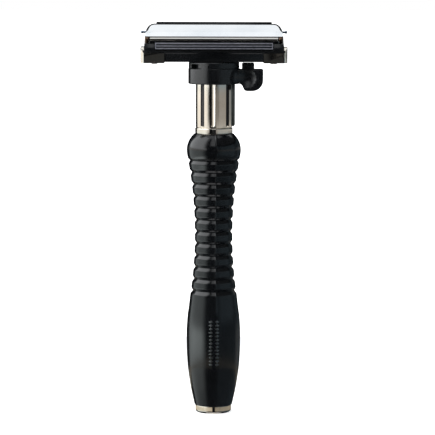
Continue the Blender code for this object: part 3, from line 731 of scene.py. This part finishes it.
class RAZOR_OT_head(bpy.types.Operator):
    """Makes the moulded head: the cartridge seat above, the room for the yoke below and the lugs for the pin"""

    bl_idname = "razor.head"
    bl_label = "Head body"

    def execute(self, context):
        _, head, _ = settings()
        half = BODY_HIGH[0]
        bottom = BODY_LOW[2]
        outline = [(4.6, bottom), (5.0, 106.25), (5.3, 106.4), (5.7, 107.35), (5.65, 108.05), (5.35, 109.1),
                   (4.65, 109.15), (4.55, 108.6), (-1.0, 111.31), (-1.9, 110.85), (-4.4, 110.85), (-4.9, 109.65),
                   (-4.9, 105.85), (-4.4, bottom)]
        body = prism("head_moulding", outline, "x", -half, half)
        lugs = []
        for name, low, high in (("left", -19.2, -18.0), ("middle", -2.0, 2.0), ("right", 18.0, 19.2)):
            lug = [(PIN_PLACE[0] + 1.3, 110.35)] + arc(PIN_PLACE, 1.3, 0, 180, 20) + [(PIN_PLACE[0] - 1.15, 110.35)]
            lugs.append(prism(f"pin_lug_{name}", lug, "x", low, high))
        combine(body, lugs, "UNION")
        reach = GUARD_HIGH[0] + 0.15
        room = [(4.75, 107.1), (6.5, 107.1), (6.5, 109.85), (4.3, 109.85), (4.3, 108.45), (4.75, 108.35)]
        cutters = [prism("guard_room", room, "x", -reach, reach)]
        hollow = [(2.65, bottom - 1)] + arc((0, SWIVEL_UP), 2.35, 0, 180, 24) + [(-3.1, bottom - 1)]
        cutters.append(prism("yoke_room_left", hollow, "x", -5.15, -2.25))
        cutters.append(prism("yoke_room_right", hollow, "x", 2.25, 5.15))
        cam = [(2.3, bottom - 1), (2.3, 103.95), (-2.3, 103.95), (-2.3, bottom - 1)]
        cutters.append(prism("cam_room", cam, "x", -2.26, 2.26))
        combine(body, cutters, "DIFFERENCE")
        dress(soften(body, head.edge_rounding, 3), "satin_black", "head", ["head_body"])
        return {"FINISHED"}


class RAZOR_OT_guard(bpy.types.Operator):
    """Makes the ribbed elastomer guard in front of the blades"""

    bl_idname = "razor.guard"
    bl_label = "Guard strip"

    def execute(self, context):
        half = GUARD_HIGH[0]
        base = [(4.85, 107.45), (5.5, 107.45), (5.55, 107.75), (5.45, 109.35), (5.3, 109.5), (4.85, 109.55)]
        dress(soften(prism("guard_pad", base, "x", -half, half), 0.07, 2), "guard_rubber", "head", ["guard_strip"])
        rim = 0.3
        reach = half - 0.05
        top, bottom = 109.24, 107.76
        ribs = []
        for i, up in enumerate((top, (top + bottom) / 2, bottom)):
            front = 5.9 - 0.12 * (up - bottom)
            rib = [(5.2, up - 0.14)] + arc((front - 0.14, up), 0.14, -90, 90, 6) + [(5.2, up + 0.14)]
            ribs.append(prism(f"rib_{i}", rib, "x", -reach, reach))
        for side in (-1, 1):
            end = [(5.2, bottom - 0.1), (5.85, bottom - 0.1), (5.65, top + 0.1), (5.2, top + 0.1)]
            low, high = sorted((side * (reach - rim), side * reach))
            ribs.append(prism(f"rib_end_{side + 1}", end, "x", low, high))
        frame_piece = ribs.pop(0)
        frame_piece.name = "guard_ribs"
        combine(frame_piece, ribs, "UNION")
        # The ribs take the pale grey copy of the elastomer: painted highlight on their crests.
        dress(frame_piece, "guard_rubber", "head", ["guard_strip"], look="ribs_painted_highlight")
        return {"FINISHED"}


class RAZOR_OT_clips(bpy.types.Operator):
    """Makes the folded nickel clips at the head's bottom corners, and their rivets"""

    bl_idname = "razor.clips"
    bl_label = "End clips"

    def execute(self, context):
        for side in ("left", "right"):
            low, high = low_high(f"end_clip_{side}")
            self.clip(side, -1 if side == "left" else 1, low, high)
            self.rivet(side)
        return {"FINISHED"}

    def clip(self, side, sign, low, high):
        """One strip folded under the head and up its front, and bent round the corner into an ear."""
        inner, outer = (low[0], high[0]) if sign > 0 else (high[0], low[0])
        skin = BODY_LOW[2] - 0.05
        wall = BODY_HIGH[0] + 0.1
        bend = 0.95
        face = 5.42
        wrap = [(-4.4, low[2]), (4.95, low[2]), (face, 106.35), (face - 0.3, 106.35), (4.75, skin), (-4.4, skin)]
        clip = prism(f"corner_clip_{side}", wrap, "x", *sorted((inner, outer - sign * bend)))
        room = [(4.72, 103.75), (5.12, 106.23), (5.42, 106.35), (5.42, 106.85), (3.0, 106.85), (3.0, 103.75)]
        combine(clip, [prism(f"clip_room_{side}", room, "x", *sorted((inner - sign, sign * wall)))], "DIFFERENCE")
        corner = 0.9
        ear = [(-3.2, 103.5), (4.9, 103.5), (face, 106.35)]
        ear += arc((face - 0.2 - corner, high[2] - corner), corner, 0, 90, 8)
        ear += arc((-3.2 + corner, high[2] - corner), corner, 90, 180, 8)
        ear = prism(f"clip_ear_{side}", ear, "x", *sorted((sign * wall, outer)))
        plan = [(wall, 3.2), (wall, -7.0), (abs(outer) - bend, -7.0), (abs(outer) - bend, -face)]
        plan += [(abs(outer) - 0.45, 0.35 - face), (abs(outer) - 0.12, 0.8 - face), (abs(outer), 1.3 - face)]
        plan += [(abs(outer), 3.2)]
        plan = prism(f"clip_plan_{side}", [(sign * x, y) for x, y in plan], "z", low[2] - 1, high[2] + 1)
        lean = (face - 4.9) / (106.35 - 103.5)
        for vert in plan.data.vertices:
            vert.co.y += lean * (106.35 * MM - vert.co.z)
        combine(ear, [plan], "INTERSECT")
        combine(clip, [ear], "UNION")
        hole = lathe(f"clip_eye_{side}", [(0, -6.5), (0.36, -6.5), (0.36, -4.0), (0, -4.0)], even_angles(24))
        for vert in hole.data.vertices:
            x, y, z = vert.co
            vert.co = (x + sign * 19.6 * MM, z, y + 105.05 * MM)
        combine(clip, [hole], "DIFFERENCE")
        dress(soften(clip, 0.13, 3), "warm_nickel", "head", [f"end_clip_{side}"])

    def rivet(self, side):
        low, high = low_high(f"clip_rivet_{side}")
        middle = (low[0] + high[0]) / 2
        radius = (high[0] - low[0]) / 2
        crown = [(radius * math.sin(math.radians(a)), low[2] + 0.35 * (1 - math.cos(math.radians(a))))
                 for a in range(0, 91, 10)]
        outline = crown + [(0.6, crown[-1][1] + 0.02), (0.6, high[2]), (0, high[2])]
        rivet = lathe(f"domed_rivet_{side}", outline, even_angles(32))
        for vert in rivet.data.vertices:
            vert.co.x += middle * MM
        dress(rivet, "warm_nickel", "head", [f"clip_rivet_{side}"])


class RAZOR_OT_hinge(bpy.types.Operator):
    """Makes the cap's pin with its upset ends, and the two torsion springs on it"""

    bl_idname = "razor.hinge"
    bl_label = "Cap hinge"

    def execute(self, context):
        end = PIN_HIGH[0]
        shaft = 0.33
        tip = 0.42
        half = [(shaft, end - 0.75), (tip, end - 0.62), (tip, end - 0.2), (tip * 0.8, end - 0.06), (0, end)]
        outline = [(r, -z) for r, z in reversed(half)] + half
        pin = lay_along_x(lathe("hinge_pin", outline, even_angles(32)), *PIN_PLACE)
        dress(pin, "bright_chrome", "head", ["cap_pin"], look="pin_wire")
        for side, sign in (("left", -1), ("right", 1)):
            radius = 0.85
            turns = 6
            points = [(sign * (14.4 + 3.0 * i / (turns * 20)),
                       -(PIN_PLACE[0] + radius * math.cos(math.tau * i / 20)),
                       PIN_PLACE[1] + radius * math.sin(math.tau * i / 20)) for i in range(turns * 20 + 1)]
            last = points[-1]
            points += [(last[0], last[1] - 0.1, last[2] - 0.35), (last[0], last[1] - 0.2, last[2] - 0.7)]
            spring = wire(f"torsion_spring_{side}", points, 0.26)
            dress(spring, "spring_steel", "head", [f"cap_spring_{side}"])
        return {"FINISHED"}


class RAZOR_OT_cap(bpy.types.Operator):
    """Makes the chromed cap, drawn down at its rear corners, and the black liner inside it"""

    bl_idname = "razor.cap"
    bl_label = "Cap"

    def execute(self, context):
        _, head, _ = settings()
        self.shell(head)
        self.liner()
        return {"FINISHED"}

    def shell(self, head):
        half = CAP_HIGH[0]
        profile = smooth_line([(4.1, 111.2), (3.93, 111.8), (3.74, 112.35), (3.4, 112.78), (2.75, 113.12),
                               (-0.5, 114.25), (-2.2, 114.63), (-3.5, 114.78), (-4.3, 114.8)], 5)
        foot = 112.25
        flat = half - head.cap_corner
        stations = [flat * t for t in (0, 0.2, 0.4, 0.6, 0.8, 0.9, 0.96, 1.0)]
        stations += [flat + head.cap_corner * math.sin(math.radians(a)) for a in (10, 20, 30, 40, 50, 60, 70, 80, 90)]
        xs = [-x for x in reversed(stations[1:])] + stations
        bm = bmesh.new()
        rows = []
        for front, up in profile:
            row = []
            for x in xs:
                share = max(0.0, (abs(x) - flat) / head.cap_corner)
                rise = max(0.0, up - foot) * math.sqrt(max(0.0, 1 - share * share))
                row.append(bm.verts.new((x, -front, min(up, foot) + rise)))
            rows.append(row)
        for here, there in zip(rows, rows[1:]):
            for i in range(len(xs) - 1):
                bm.faces.new((here[i], here[i + 1], there[i + 1], there[i]))
        bmesh.ops.scale(bm, vec=(MM, MM, MM), verts=bm.verts)
        mesh = bpy.data.meshes.new("chromed_cap")
        bm.to_mesh(mesh)
        bm.free()
        shell = bpy.data.objects.new("chromed_cap", mesh)
        bpy.context.scene.collection.objects.link(shell)
        thicken = shell.modifiers.new("sheet", "SOLIDIFY")
        thicken.thickness = head.cap_thickness * MM
        thicken.offset = -1
        thicken.use_even_offset = False
        bake(shell)
        ears = []
        for side, low, high in (("left", -19.98, -19.5), ("right", 19.5, 19.98)):
            ear = [(PIN_PLACE[0] + 1.1, 112.45)] + arc(PIN_PLACE, 1.1, 0, -180, 20) + [(PIN_PLACE[0] - 1.1, 112.45)]
            ear += arc(PIN_PLACE, 1.1, 180, 0, 20)[1:-1]
            ears.append(prism(f"hinge_ear_{side}", ear, "x", low, high))
        combine(shell, ears, "UNION")
        dress(soften(shell, 0.08, 2, 50), "bright_chrome", "cap", ["cap_shell"], sharp=60)

    def liner(self):
        outline = [(3.4, 111.65), (3.2, 111.95), (2.35, 112.63), (-0.65, 113.68), (-3.45, 114.22), (-4.4, 114.25),
                   (-4.4, 115.25), (-4.95, 115.3), (-4.95, 113.9), (-3.2, 113.87), (-0.9, 113.45), (0.05, 113.3)]
        liner = soften(prism("cap_filler", outline, "x", -17.0, 17.0), 0.1, 3)
        dress(liner, "satin_black", "cap", ["cap_liner"])


class RAZOR_OT_cartridge(bpy.types.Operator):
    """Makes the slide-in cartridge: base, two ground blades, spacer, rivets and metal ends"""

    bl_idname = "razor.cartridge"
    bl_label = "Cartridge"

    def execute(self, context):
        _, head, _ = settings()
        tilt = head.blade_tilt
        half = 18.65
        thick = 0.15
        depth = 5.4
        lower_level = -0.592
        lower_edge = 0.1
        slit = 0.04

        def blade(edge, level):
            return [(edge, level - thick * 0.3), (edge - 0.3, level + thick * 0.35), (edge - 1.0, level + thick / 2),
                    (edge - depth, level + thick / 2), (edge - depth, level - thick / 2),
                    (edge - 0.5, level - thick / 2)]

        base_top = lower_level - thick / 2 - slit
        spacer = (lower_level + thick / 2 + slit, -thick / 2 - slit)
        plates = [
            ("cartridge_tray", "cartridge_base", "satin_black", half + 0.2,
             [(0.2, -1.7), (0.2, base_top), (-4.8, base_top), (-4.8, -1.7)], 0.12),
            ("lower_blade", "blade_lower", "blade_steel", half, blade(lower_edge, lower_level), 0),
            ("spacer_plate", "blade_spacer", "satin_black", half - 0.3,
             [(-1.3, spacer[0]), (-1.3, spacer[1]), (-5.0, spacer[1]), (-5.0, spacer[0])], 0.05),
            ("upper_blade", "blade_upper", "blade_steel", half, blade(0.0, 0.0), 0),
        ]
        made = []
        for name, node, slot, reach, outline, rounding in plates:
            plate = prism(name, outline, "x", -reach, reach)
            made.append((soften(plate, rounding, 2) if rounding else plate, slot, node))
        for i, x in enumerate((-13.0, 0.0, 13.0)):
            head_line = [(0, -1.6), (0.6, -1.6), (0.6, 0.115), (1.0, 0.115), (0.95, 0.2), (0.7, 0.27), (0, 0.3)]
            rivet = lathe(f"stake_{i + 1}", head_line, even_angles(32))
            for vert in rivet.data.vertices:
                vert.co.x += x * MM
                vert.co.y += 3.1 * MM
            made.append((rivet, "warm_nickel", f"cartridge_rivet_{i + 1}"))
        for side, sign in (("left", -1), ("right", 1)):
            outline = arc((-0.55, -0.5), 0.7, 0, 90, 8) + arc((-4.3, -0.5), 0.7, 90, 180, 8)
            outline += [(-5.0, -1.6), (0.15, -1.6)]
            end = prism(f"metal_end_{side}", outline, "x", *sorted((sign * 18.95, sign * 20.05)))
            made.append((soften(end, 0.25, 4), "warm_nickel", f"cartridge_end_{side}"))
            tongue = [(-0.35, -1.3), (0.1, -1.3), (0.02, -1.1), (-0.22, -0.72), (-0.35, -0.72)]
            tongue = prism(f"end_tongue_{side}", tongue, "x", *sorted((sign * 17.3, sign * 18.95)))
            made.append((soften(tongue, 0.06, 2), "bright_chrome", None))
        for piece, slot, node in made:
            place(piece, tilt)
            # The metal ends take the dark brown copy of the nickel: painted dark reflection.
            look = "nickel_painted_dark" if piece.name.startswith("metal_end") else None
            dress(piece, slot, "cartridge", [node] if node else (), sharp=30, look=look)
        return {"FINISHED"}


def place(piece, tilt):
    """Turns a piece from the blades' own flat frame to where they lie in the head."""
    front, up = 4.55, 110.6
    for vert in piece.data.vertices:
        x, y, z = vert.co
        vert.co = (x, y * math.cos(tilt) - z * math.sin(tilt) - front * MM,
                   y * math.sin(tilt) + z * math.cos(tilt) + up * MM)


class RAZOR_OT_works(bpy.types.Operator):
    """Gives the inner works their finishes: the tie rod, the plunger with its spring and seat, pins and springs"""

    bl_idname = "razor.works"
    bl_label = "Inner works"

    def execute(self, context):
        for node in ("tie_rod", "spring_seat", "return_plunger", "plunger_spring", "detent_ball", "swivel_pin_left",
                     "swivel_pin_right", "cartridge_leaf_spring"):
            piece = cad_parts[node]
            piece.data.materials.clear()
            piece.data.materials.append(finish("spring_steel"))
        return {"FINISHED"}


# ---------------------------------------------------------------- stage


def glowing(name, layer):
    """Cloth that gives off the light painted on its corners, so each panel can fade at its edges."""
    material = bpy.data.materials.new(name)
    material.use_nodes = True
    tree = material.node_tree
    tree.nodes.clear()
    painted = tree.nodes.new("ShaderNodeAttribute")
    painted.attribute_name = layer
    light = add(tree, "ShaderNodeEmission", {"Color": painted.outputs["Color"], "Strength": 1.0})
    end = tree.nodes.new("ShaderNodeOutputMaterial")
    tree.links.new(light.outputs["Emission"], end.inputs["Surface"])
    return material


class RAZOR_OT_stage(bpy.types.Operator):
    """Sets the pale floor, the ring of soft panels round the razor, the backdrop and the camera"""

    bl_idname = "razor.stage"
    bl_label = "Stage"

    def execute(self, context):
        _, _, stage = settings()
        self.floor(stage)
        self.panels()
        self.backdrop(stage)
        self.camera()
        return {"FINISHED"}

    def floor(self, stage):
        bm = bmesh.new()
        bmesh.ops.create_circle(bm, cap_ends=True, radius=6.0, segments=96)
        mesh = bpy.data.meshes.new("floor")
        bm.to_mesh(mesh)
        bm.free()
        floor = bpy.data.objects.new("floor", mesh)
        bpy.context.scene.collection.objects.link(floor)
        material, tree, shader, points = surface("pale_paper", Roughness=0.9)
        fibre = add(tree, "ShaderNodeTexNoise", {"Vector": points, "Scale": per_mm(60.0), "Detail": 3.0})
        tint = ramp(tree, fibre.outputs["Fac"], [(0.3, linear("#fbfbfb")), (0.7, linear("#ffffff"))])
        tree.links.new(tint, shader.inputs["Base Color"])
        shader.inputs["Emission Color"].default_value = stage.backdrop
        shader.inputs["Emission Strength"].default_value = stage.floor_glow
        floor.data.materials.append(material)
        floor.visible_glossy = False

    def panels(self):
        """A round tent of soft panels: azimuth 0 is the shaving side, and it grows to the right.

        Each panel is (azimuths, heights, soft edges left, right, below and above, colour, strength); a later
        panel hangs in front of an earlier one.
        """
        radius = 0.15
        bottom, top = -0.30, 0.42
        cool, white, cream = linear("#e6efee"), linear("#fafdff"), linear("#fffaf3")
        straw, mauve, dusk, pale = linear("#e2d8c4"), linear("#b9b4ae"), linear("#8fa2ac"), linear("#c8ccce")
        hung = [((-127, -28), (-150, 140), (3, 30), (130, 2), cool, 1.15),
                ((-127, -27), (-42, 24), (45, 34), (42, 14), cool, 3.0),
                ((14, 150), (-110, 140), (14, 6), (20, 20), dusk, 0.27),
                ((12, 108), (22, 140), (30, 20), (10, 10), dusk, 0.75),
                ((106, 142), (-30, 16), (6, 6), (10, 6), pale, 0.40),
                ((-32, 14), (15, 66), (4, 4), (10, 10), pale, 0.05),
                ((-190, -5), (-31, -21), (2, 3), (2, 2), straw, 0.85),
                ((9, 190), (-31, -21), (4, 2), (2, 2), straw, 0.46),
                ((-127, -24), (73, 76), (3, 6), (1, 1), cream, 1.0),
                ((12, 150), (73, 76), (4, 3), (1, 1), cream, 0.70),
                ((-140, -28), (76, 90), (30, 24), (1, 1), cream, 1.12),
                ((-8, 7), (76, 90), (2, 2), (1, 1), pale, 0.30),
                ((9, 90), (76, 90), (2, 6), (1, 1), mauve, 0.44),
                ((30, 90), (76, 90), (6, 6), (1, 1), mauve, 0.66),
                ((104, 150), (76, 90), (8, 8), (1, 1), pale, 0.45),
                ((-127, -28), (90, 104), (3, 5), (1, 1), white, 2.3),
                ((-127, -28), (104, 420), (3, 24), (1, 0), white, 2.6),
                ((28, 127), (140, 420), (4, 3), (20, 0), pale, 0.14),
                ((-18, 18), (145, 420), (6, 6), (8, 0), white, 1.05),
                ((-190, -124), (175, 420), (0, 2), (8, 0), white, 1.0),
                ((124, 190), (175, 420), (2, 0), (8, 0), white, 1.0)]

        def step_up(value, edge, soft):
            share = min(1.0, max(0.0, (value - edge) / max(soft, 0.01)))
            return share * share * (3 - 2 * share)

        def light(azimuth, height):
            seen = Vector(linear("#0b0c0e")[:3])
            for (left, right), (low, high), (soft_l, soft_r), (soft_d, soft_u), colour, strength in hung:
                share = (step_up(azimuth, left, soft_l) * step_up(-azimuth, -right, soft_r)
                         * step_up(height, low, soft_d) * step_up(-height, -high, soft_u))
                seen = seen.lerp(Vector(colour[:3]) * strength, share)
            return (*seen, 1.0)

        bm = bmesh.new()
        glow = bm.loops.layers.float_color.new("light")
        step = 3
        rows = 288
        heights = [bottom + (top - bottom) * i / rows for i in range(rows + 1)]
        columns, lights = [], []
        for azimuth in range(-180, 180, step):
            a = math.radians(azimuth)
            columns.append([bm.verts.new((radius * math.sin(a), -radius * math.cos(a), h)) for h in heights])
            lights.append([light(azimuth, h / MM) for h in heights])
        for j in range(len(columns)):
            k = (j + 1) % len(columns)
            for i in range(rows):
                face = bm.faces.new((columns[j][i], columns[j][i + 1], columns[k][i + 1], columns[k][i]))
                seen = (lights[j][i], lights[j][i + 1], lights[k][i + 1], lights[k][i])
                for loop, colour in zip(face.loops, seen):
                    loop[glow] = colour
        lid = bm.faces.new([column[-1] for column in columns])
        for loop in lid.loops:
            loop[glow] = white
        mesh = bpy.data.meshes.new("light_tent")
        bm.to_mesh(mesh)
        bm.free()
        mesh.materials.append(glowing("lit_cloth", "light"))
        tent = bpy.data.objects.new("light_tent", mesh)
        bpy.context.scene.collection.objects.link(tent)
        tent.visible_camera = False
        tent.visible_shadow = False

    def backdrop(self, stage):
        world = bpy.data.worlds.new("studio")
        bpy.context.scene.world = world
        world.use_nodes = True
        background = world.node_tree.nodes["Background"]
        background.inputs["Color"].default_value = stage.backdrop
        background.inputs["Strength"].default_value = 1.0
        bpy.context.scene.view_settings.view_transform = "Standard"

    def camera(self):
        """A long lens in front of the razor, a little above its middle and looking down at it."""
        side = 1.13
        aim_up = 57.85
        distance = 745.0
        height = 133.45
        view_width = 128.3
        data = bpy.data.cameras.new("camera")
        data.sensor_width = 36.0
        reach = math.hypot(distance, height - aim_up)
        data.lens = data.sensor_width * reach / view_width
        data.clip_start = 0.05
        data.clip_end = 20.0
        camera = bpy.data.objects.new("camera", data)
        camera.location = Vector((side, -distance, height)) * MM
        aim = Vector((side, 0, aim_up)) * MM
        roll = 0.0024
        camera.rotation_euler = (aim - camera.location).to_track_quat("-Z", "Y").to_euler()
        camera.rotation_euler.rotate_axis("Z", roll)
        bpy.context.scene.collection.objects.link(camera)
        bpy.context.scene.camera = camera


class RAZOR_PT_panel(bpy.types.Panel):
    bl_idname = "RAZOR_PT_panel"
    bl_label = "Cartridge razor"
    bl_space_type = "VIEW_3D"
    bl_region_type = "UI"
    bl_category = "Razor"

    def draw(self, context):
        for group in settings():
            for name in group.__annotations__:
                self.layout.prop(group, name)
        for operator in OPERATORS:
            self.layout.operator(operator.bl_idname)


OPERATORS = (RAZOR_OT_grip, RAZOR_OT_neck, RAZOR_OT_yoke, RAZOR_OT_lock, RAZOR_OT_head, RAZOR_OT_guard,
             RAZOR_OT_clips, RAZOR_OT_hinge, RAZOR_OT_cap, RAZOR_OT_cartridge, RAZOR_OT_works, RAZOR_OT_stage)
GROUPS = {"razor_grip": GripSettings, "razor_head": HeadSettings, "razor_stage": StageSettings}


def register():
    for kind in (*GROUPS.values(), *OPERATORS, RAZOR_PT_panel):
        bpy.utils.register_class(kind)
    for name, kind in GROUPS.items():
        setattr(bpy.types.Scene, name, bpy.props.PointerProperty(type=kind))


def unregister():
    for name in GROUPS:
        delattr(bpy.types.Scene, name)
    for kind in reversed((*GROUPS.values(), *OPERATORS, RAZOR_PT_panel)):
        bpy.utils.unregister_class(kind)


def main():
    register()
    for operator in OPERATORS:
        group, name = operator.bl_idname.split(".")
        getattr(getattr(bpy.ops, group), name)()


if __name__ == "__main__":
    main()
